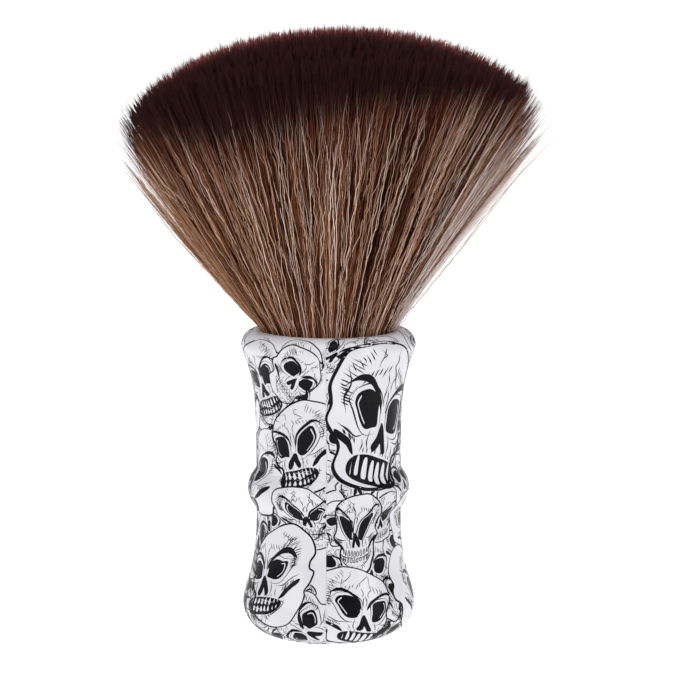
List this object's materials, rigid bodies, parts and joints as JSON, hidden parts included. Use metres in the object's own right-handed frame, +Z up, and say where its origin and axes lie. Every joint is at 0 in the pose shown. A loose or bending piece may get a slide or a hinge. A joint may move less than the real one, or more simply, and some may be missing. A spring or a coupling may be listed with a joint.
{
  "type": "neck duster brush",
  "caption": "Barber's neck duster: a waisted printed plastic handle with a grip ring, and a wide flattened fan of soft brown fibres with dark dyed tips.",
  "frame": {"origin": "centre of the flat foot under the handle", "axes": "+Z up along the handle's axis, +X along the fan's width, +Y from the front to the back of the fan"},
  "size_m": [0.1058, 0.0552, 0.155],
  "materials": {
    "handle_plastic": "white moulded plastic",
    "printed_film": "white film with black line art under clear gloss",
    "cap_plastic": "satin white moulded plastic",
    "cup_plastic": "satin grey moulded plastic",
    "adhesive": "cured hot-melt adhesive",
    "resin": "cured amber potting resin",
    "thread": "twisted waxed thread",
    "wedge_plastic": "natural moulded plastic",
    "brown_fibre": "soft brown synthetic fibre, tips dyed near black",
    "silver_fibre": "crimped pale synthetic fibre"
  },
  "bodies": {
    "root": {"handle_shell": "handle_plastic", "print_film": "printed_film", "base_cap": "cap_plastic", "knot_cup": "cup_plastic", "cup_adhesive": "adhesive", "root_resin": "resin", "binding_thread": "thread", "spreader_wedge": "wedge_plastic", "fibre_bundle": "brown_fibre", "silver_fibre_layer": "silver_fibre"}
  },
  "joints": []
}
